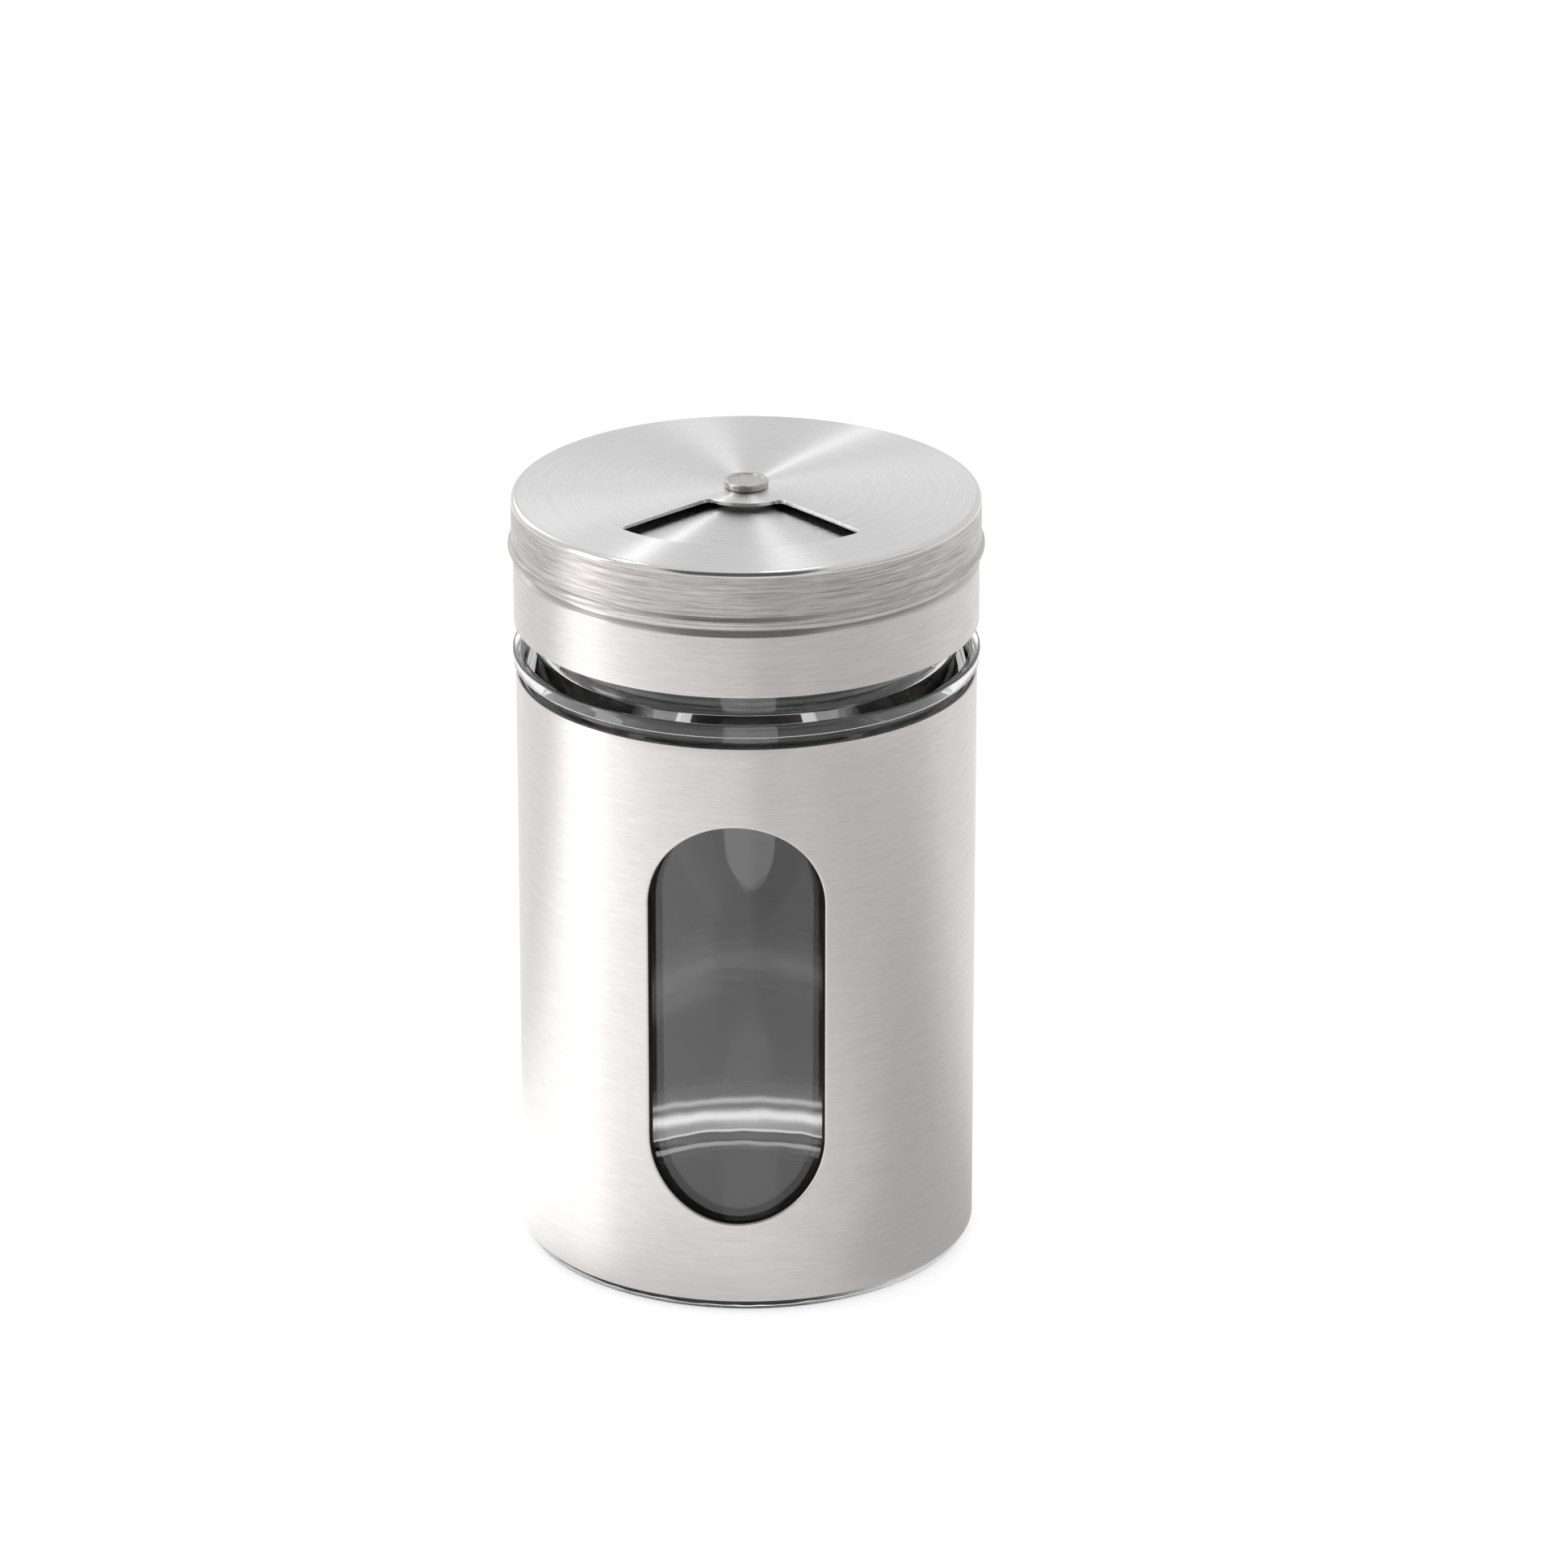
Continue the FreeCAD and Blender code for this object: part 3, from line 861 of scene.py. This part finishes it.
# Rotating cover with its fan window
cover = {
    "curlReach": 0.4,
    "curlRound": 0.55,
    "sheet": 0.5,
    "crown": 0.62,
    "crownMargin": 0.4,
    "crownRows": 7,
    "edgeRound": 0.7,
    "curlRows": 28,
    "boss": 4.2,
    "bossRows": 3,
    "rivetHole": 1.55,
    "rivetHoleRound": 0.06,
    "fanInner": 5.95,
    "fanOuter": 19.9,
    "fanHalf": 45.0,
    "fanCorner": 1.0,
    "lip": 0.11,
    "bandInner": 4.6,
    "bandOuter": 23.2,
    "steps": {"corner": 6, "side": 26, "end": 44, "rings": 10, "ease": 1.4, "patch": 62, "rest": 170},
}


# The crowned top is a band with a fan-shaped opening, where the measure along is the radius. The skirt, its
# rolled edge and the inside are turned
def coverParts():
    steps = cover["steps"]
    coverRadius = curlRadius - cover["curlReach"]
    rimTop = coverTop - cover["crown"]
    edge = coverRadius - cover["edgeRound"]
    sheet = cover["sheet"]
    corner = cover["fanCorner"]
    fan = {
        "half": math.radians(cover["fanHalf"]),
        "low": cover["fanInner"],
        "high": cover["fanOuter"],
        "corners": (corner / (cover["fanInner"] + corner), corner / (cover["fanOuter"] - corner), corner),
        "widen": 2 / (cover["fanInner"] + cover["fanOuter"]),
    }

    # Height of the crowned top's outer face
    def topHeight(radius):
        return rimTop + crownRise(radius, edge, cover["boss"], cover["crown"])

    parts = []
    faces = openBand(openingOutline(fan, steps, cover["lip"]), steps, cover["bandInner"], cover["bandOuter"])
    for drop, finish in ((0.0, 0), (sheet, 2)):
        for face, closed in zip(faces, (True, False)):
            grid = place(face[..., 0], face[..., 1], topHeight(face[..., 1]) - drop)
            parts.append(gridPart(grid, finish, closed))
    rows = []
    for depth, back in edgeRound(sheet, cover["lip"]):
        outline = openingOutline(fan, steps, back)
        rows.append(place(outline[:, 0], outline[:, 1], topHeight(outline[:, 1]) - depth))
    parts.append(gridPart(np.stack(rows)))
    slope = np.linspace(cover["bandOuter"], edge - cover["crownMargin"], cover["crownRows"])
    crownEdge = [(radius, topHeight(radius), 0) for radius in slope]
    underEdge = [(radius, height - sheet, 0) for radius, height, _ in crownEdge[::-1]]
    size = cover["curlRound"]
    curlCentre, curlHeight = curlRadius - size, curlFoot + size
    ends = [math.acos((radius - curlCentre) / size) for radius in (coverRadius, coverRadius - sheet)]
    turn = np.linspace(ends[0], -ends[1], cover["curlRows"])
    curl = onCircle(turn) * size + (curlCentre, curlHeight)
    skirt = outlineOf(crownEdge + [(coverRadius, rimTop, cover["edgeRound"]), (*curl[0], 0)])
    outside = np.vstack((skirt[:-1], curl))
    inside = outlineOf(
        [(*curl[-1], 0), (coverRadius - sheet, rimTop - sheet, cover["edgeRound"] - sheet)] + underEdge
    )
    slope = np.linspace(cover["bandInner"], cover["boss"], cover["bossRows"])
    bossSlope = [(radius, topHeight(radius), 0) for radius in slope]
    hole = [(cover["rivetHole"], height, cover["rivetHoleRound"]) for height in (coverTop, coverTop - sheet)]
    underBoss = [(radius, height - sheet, 0) for radius, height, _ in bossSlope[::-1]]
    middle = outlineOf(bossSlope + hole + underBoss)
    bearings = bandBearings(steps)
    roundStart = int(np.argmax(outside[:, 0] > edge + tiny))
    skirtStart = int(np.argmax(outside[:, 0] > coverRadius - tiny))
    for rows, finish in (
        (outside[: roundStart + 1], 0),
        (outside[roundStart : skirtStart + 1], 3),
        (outside[skirtStart:], 1),
        (inside, 2),
        (middle, 0),
    ):
        parts.append(gridPart(lathe(rows, bearings), finish))
    return parts


# What the cover's skirt and its pressed edge have in common
skirtLines = {
    "radius": 27.8,
    "coarse": {"length": 9.0, "width": 0.2},
    "fine": {"length": 3.0, "width": 0.09},
    "fineShare": 0.45,
}
# The skirt and the rolled edge: long coarse lines that show one by one
skirtSteel = brushedSteel(
    "stainlessSteelCoarseBrushed",
    {
        **skirtLines,
        "ridge": "c0bdbb",
        "groove": "8f8b89",
        "contrast": 0.18,
        "rough": (0.3, 0.42),
        "anisotropy": 0.75,
        "depth": 0.008,
    },
)
# The pressed rounding between top and skirt, polished by the tool: a thin bright line
edgeSteel = brushedSteel(
    "stainlessSteelPressedEdge",
    {
        **skirtLines,
        "ridge": "d2d0cf",
        "groove": "bebcbb",
        "contrast": 0.25,
        "rough": (0.1, 0.16),
        "anisotropy": 0.4,
        "depth": 0.001,
    },
)
coverLooks = [discSteel, skirtSteel, milled, edgeSteel]
makePiece("rotatingCover", coverParts(), coverLooks, "dial", "rotating_cover")


# A turned piece from its corners, which is closed on itself unless it starts and ends on the axis
def turnedPiece(name, corners, material, body, node, count=128):
    onAxis = corners[0][0] == 0
    grid = lathe(outlineOf(corners, closed=not onAxis), allRound(count))
    makePiece(name, [gridPart(grid)], [material], body, node)


# Rivet that the cover turns on
rivet = {
    "shank": 1.5,
    "shankRound": 0.05,
    "tail": 2.4,
    "tailTop": 91.97,
    "tailRound": 0.3,
    "headFootRound": 0.3,
    "headRound": 0.22,
    "dish": 2.1,
    "dishDepth": 0.15,
    "dishRound": 0.06,
    "columns": 96,
}
# Satin from the press, with short faint lines: grey with a soft sheen
rivetSteel = brushedSteel(
    "stainlessSteelRivetSatin",
    {
        "radius": 2.6,
        "ridge": "c4c1bf",
        "groove": "9a9795",
        "coarse": {"length": 1.6, "width": 0.25},
        "fine": {"length": 0.5, "width": 0.12},
        "fineShare": 0.5,
        "contrast": 0.25,
        "rough": (0.22, 0.38),
        "anisotropy": 0.3,
        "depth": 0.01,
    },
)
headRadius, tailFoot, headTop = span("pivot_rivet")
turnedPiece(
    "pivotRivet",
    [
        (0, tailFoot, 0),
        (rivet["tail"], tailFoot, rivet["tailRound"]),
        (rivet["tail"], rivet["tailTop"], rivet["shankRound"]),
        (rivet["shank"], rivet["tailTop"], rivet["shankRound"]),
        (rivet["shank"], coverTop, rivet["shankRound"]),
        (headRadius, coverTop, rivet["headFootRound"]),
        (headRadius, headTop, rivet["headRound"]),
        (rivet["dish"], headTop, rivet["dishRound"]),
        (rivet["dish"] - rivet["dishDepth"], headTop - rivet["dishDepth"], rivet["dishRound"]),
        (0, headTop - rivet["dishDepth"], 0),
    ],
    rivetSteel,
    "lid",
    "pivot_rivet",
    rivet["columns"],
)

# Screw insert pressed into the cap. Its ridge lies the hook drop under the neck's
insert = {
    "inner": 26.1,
    "relief": 0.3,
    "round": 0.15,
    "stepRound": 0.1,
    "fit": 0.01,
    "step": 0.15,
    "hookDrop": 2.1545,
}
insertScrew = {
    "pitch": neckScrew["pitch"],
    "turns": 1.15,
    "start": neckScrew["start"] - insert["hookDrop"],
    "bearing": neckScrew["bearing"],
    "root": 2.0,
    "crest": 0.8,
    "reach": -1.1,
    "fade": 0.05,
}


# The insert's inner wall carries the thread that hooks under the neck's thread
def insertPart():
    wallRadius, foot, top = span("thread_ring")
    upper = capRadius - cap["stepIn"] - cap["sheet"] - insert["fit"]
    shoulder = cap["bandTop"] - insert["relief"]
    corners = [
        (wallRadius - insert["fit"], foot, insert["round"]),
        (wallRadius - insert["fit"], shoulder, insert["stepRound"]),
        (upper, shoulder + cap["stepRise"], insert["stepRound"]),
        (upper, top, insert["round"]),
        (insert["inner"], top, insert["round"], insert["step"]),
        (insert["inner"], foot, insert["round"]),
    ]
    outline = outlineOf(corners, closed=True)
    onWall = np.abs(outline[:, 0] - insert["inner"]) < tiny
    grid = lathe(outline, columns)
    rise = threadRise(columns[None, :], outline[onWall, 1:], insertScrew)
    grid[onWall] = place(columns[None, :], insert["inner"] + rise, outline[onWall, 1:])
    return gridPart(grid)


# Milky white with a soft sheen
polypropylene = mouldedPlastic(
    "polypropyleneMoulded",
    {
        "light": "efeeea",
        "dark": "e4e3de",
        "cloud": 8.0,
        "grain": 0.25,
        "rough": (0.38, 0.52),
        "ior": 1.49,
        "through": 0.15,
        "depthOfLight": 1.0,
        "depth": 0.004,
    },
)
makePiece("threadRing", [insertPart()], [polypropylene], "lid", "thread_ring")

# Seal and washers. The silicone is soft and dull, and lets the most light through
silicone = mouldedPlastic(
    "siliconeMoulded",
    {
        "light": "e8e7e2",
        "dark": "dcdbd5",
        "cloud": 5.0,
        "grain": 0.2,
        "rough": (0.5, 0.65),
        "ior": 1.41,
        "through": 0.3,
        "depthOfLight": 1.5,
        "depth": 0.005,
    },
)
# Warm white and dull, as punched from sheet
nylon = mouldedPlastic(
    "nylonPunched",
    {
        "light": "e6e3da",
        "dark": "d8d5cb",
        "cloud": 3.0,
        "grain": 0.15,
        "rough": (0.4, 0.55),
        "ior": 1.53,
        "through": 0.1,
        "depthOfLight": 0.6,
        "depth": 0.004,
    },
)
washers = {"hole": 1.55, "round": 0.06, "springSheet": 0.3}
seal = {"inner": 21.5, "round": 0.12, "columns": 192}


# Corners of a flat ring
def ringCorners(inner, outer, foot, top, size):
    return [(inner, foot, size), (outer, foot, size), (outer, top, size), (inner, top, size)]


sealRadius, sealFoot, sealTop = span("rim_seal")
sealCorners = ringCorners(seal["inner"], sealRadius, sealFoot, sealTop, seal["round"])
turnedPiece("rimSeal", sealCorners, silicone, "seal", "rim_seal", seal["columns"])
for name, node, slot, material in (
    ("spacerWasher", "spacer_washer", "washer_nylon", nylon),
    ("backingWasher", "backing_washer", "washer_steel", rivetSteel),
):
    outer, foot, top = span(node)
    corners = ringCorners(washers["hole"], outer, foot, top, washers["round"])
    turnedPiece(name, corners, material, "lid", node)
# The spring is a shallow cone, higher at its outer edge
outer, foot, top = span("spring_washer")
springCorners = [
    (washers["hole"], foot, washers["round"]),
    (outer, top - washers["springSheet"], washers["round"]),
    (outer, top, washers["round"]),
    (washers["hole"], foot + washers["springSheet"], washers["round"]),
]
turnedPiece("springWasher", springCorners, rivetSteel, "lid", "spring_washer")

# Studio: a pale floor, a white room and soft lamps
studio = {
    "floorSize": 6000,
    "floorDrop": 0.03,
    "floorColour": "a8a8a8",
    "floorGlow": 0.7,
    # The mat's dark colour is painted shade under the jar
    "mat": {"radius": 20.5, "rise": 0.02, "colour": "6e6c6a"},
    "aim": (0, 0, 60),
    "lamps": [
        {"name": "keyLamp", "place": (-620, -120, 240), "along": (0, 0, 1), "size": (200, 420), "power": 0.9},
        {
            "name": "stripLamp",
            "place": (-280, 225, 700),
            "along": (-0.3, -0.52, 0.06),
            "size": (16, 420),
            "power": 0.5,
        },
        {"name": "topLamp", "place": (60, 250, 720), "along": (0, 1, 0), "size": (60, 400), "power": 0.25},
    ],
    "cards": [
        {"name": "leftTable", "place": (-230, -60, 1), "size": (430, 240), "fade": (25, 60), "glow": 2.0},
        {"name": "rightTable", "place": (100, -110, 1), "size": (190, 360), "fade": (20, 80), "glow": 0.65},
        {
            "name": "rightWall",
            "place": (600, -250, 260),
            "facing": (-1, 0.3, 0),
            "size": (800, 600),
            "fade": (150, 150),
            "glow": 0.75,
        },
        {
            "name": "frontWall",
            "place": (0, -480, 500),
            "facing": (0, 0.743, -0.669),
            "size": (900, 1000),
            "fade": (150, 150),
            "glow": 0.16,
        },
        {
            "name": "backLeftWall",
            "place": (-420, 560, 430),
            "facing": (0.6, -0.75, -0.4),
            "size": (560, 560),
            "fade": (150, 150),
            "glow": 1.8,
        },
        {"name": "frontTable", "place": (-10, -85, 1), "size": (190, 110), "fade": (40, 30), "glow": 1.45},
    ],
}


# Puts a mesh of the studio in the scene, from points in metres
def stageSheet(name, points, faces, material):
    mesh = bpy.data.meshes.new(name)
    mesh.from_pydata(points, [], faces)
    mesh.materials.append(material)
    sheet = addObject(name, mesh)
    return sheet


# Corners and face of a level rectangle about the axis
def rectangle(size, height=0.0):
    across, up = (side * mm / 2 for side in size)
    ends = ((-1, -1), (1, -1), (1, 1), (-1, 1))
    return [(x * across, y * up, height * mm) for x, y in ends], [(0, 1, 2, 3)]


# A matt finish with a fine tooth, for the floor and for the dark mat of painted shade
def mattFinish(name, tooth, strength, settings):
    material, tree = newMaterial(name)
    spot = addNode(tree, "TexCoord").outputs["Object"]
    noise = addNode(tree, "TexNoise", {}, {"Vector": spot, "Scale": tooth, "Detail": 3.0}).outputs["Fac"]
    bump = addNode(tree, "Bump", {}, {"Height": noise, "Strength": strength, "Distance": 0.0001}).outputs[0]
    matt = addNode(tree, "BsdfPrincipled", {}, {"Specular IOR Level": 0.0, "Normal": bump, **settings})
    addNode(tree, "OutputMaterial", {}, {"Surface": matt.outputs[0]})
    return material


# A sheet of seamless paper that shows white to the lens, to metal and to glass
def paperFloor():
    settings = {
        "Base Color": linear(studio["floorColour"]),
        "Roughness": 0.9,
        "Emission Color": (1, 1, 1, 1),
        "Emission Strength": studio["floorGlow"],
    }
    paper = mattFinish("seamlessPaper", 900.0, 0.2, settings)
    corners, faces = rectangle((studio["floorSize"], studio["floorSize"]), -studio["floorDrop"])
    stageSheet("floor", corners, faces, paper)


# A dark round mat under the jar's hollow base: painted shade, a dark sheet where the floor lies in the jar's
# shadow, which keeps the glow of the paper out of the jar
def paintedShadeMat():
    mat = studio["mat"]
    shadeFelt = mattFinish("paintedShadeFelt", 2500.0, 0.5, {"Base Color": linear(mat["colour"]), "Roughness": 1.0})
    height = mat["rise"] - studio["floorDrop"]
    rings = np.array([(0, height), (mat["radius"] / 2, height), (mat["radius"], height)])
    spots, faces, _ = gridPart(lathe(rings, columns)[:, ::-1])
    stageSheet("paintedShadeMat", spots * mm, faces, shadeFelt)


# A card that shows in reflections alone, and fades out towards its edges so that none of them shows
def softCard(spec):
    material, tree = newMaterial(spec["name"])
    spot = addNode(tree, "TexCoord").outputs["Object"]
    parts = addNode(tree, "SeparateXYZ", inputs={0: spot}).outputs
    fades = []
    for axis, side, soft in zip("XY", spec["size"], spec["fade"]):
        away = addNode(tree, "Math", {"operation": "ABSOLUTE"}, {0: parts[axis]}).outputs[0]
        fade = addNode(
            tree,
            "MapRange",
            {"interpolation_type": "SMOOTHSTEP"},
            {
                "Value": away,
                "From Min": (side / 2 - soft) * mm,
                "From Max": side / 2 * mm,
                "To Min": 1.0,
                "To Max": 0.0,
            },
        ).outputs["Result"]
        fades.append(fade)
    shown = addNode(tree, "Math", {"operation": "MULTIPLY"}, {0: fades[0], 1: fades[1]}).outputs[0]
    glow = addNode(tree, "Emission", {}, {"Color": (1, 1, 1, 1), "Strength": spec["glow"]}).outputs[0]
    clear = addNode(tree, "BsdfTransparent").outputs[0]
    mixed = addNode(tree, "MixShader", {}, {0: shown, 1: clear, 2: glow}).outputs[0]
    addNode(tree, "OutputMaterial", {}, {"Surface": mixed})
    corners, faces = rectangle(spec["size"])
    card = stageSheet(spec["name"], corners, faces, material)
    card.location = Vector(spec["place"]) * mm
    if "facing" in spec:
        card.rotation_euler = Vector(spec["facing"]).to_track_quat("Z", "Y").to_euler()
    for ray in ("camera", "diffuse", "transmission", "shadow"):
        setattr(card, "visible_" + ray, False)


paperFloor()
paintedShadeMat()
for spec in studio["cards"]:
    softCard(spec)
# A lamp faces the aim, and its long side keeps as near to along as it can
for spec in studio["lamps"]:
    lamp = bpy.data.lights.new(spec["name"], "AREA")
    lamp.shape = "RECTANGLE"
    lamp.size, lamp.size_y = (side * mm for side in spec["size"])
    lamp.energy = spec["power"]
    holder = addObject(spec["name"], lamp)
    holder.location = Vector(spec["place"]) * mm
    away = (holder.location - Vector(studio["aim"]) * mm).normalized()
    across = Vector(spec["along"]).cross(away).normalized()
    holder.rotation_euler = Matrix((across, away.cross(across), away)).transposed().to_euler()
    holder.visible_camera = False

world = bpy.data.worlds.new("whiteRoom")
world.use_nodes = True
room = world.node_tree
room.nodes.clear()
light = addNode(room, "Background", {}, {"Color": (1, 1, 1, 1), "Strength": 1.0}).outputs[0]
addNode(room, "OutputWorld", {}, {"Surface": light})
bpy.context.scene.world = world
bpy.context.scene.view_settings.view_transform = "Standard"
print("studio set")
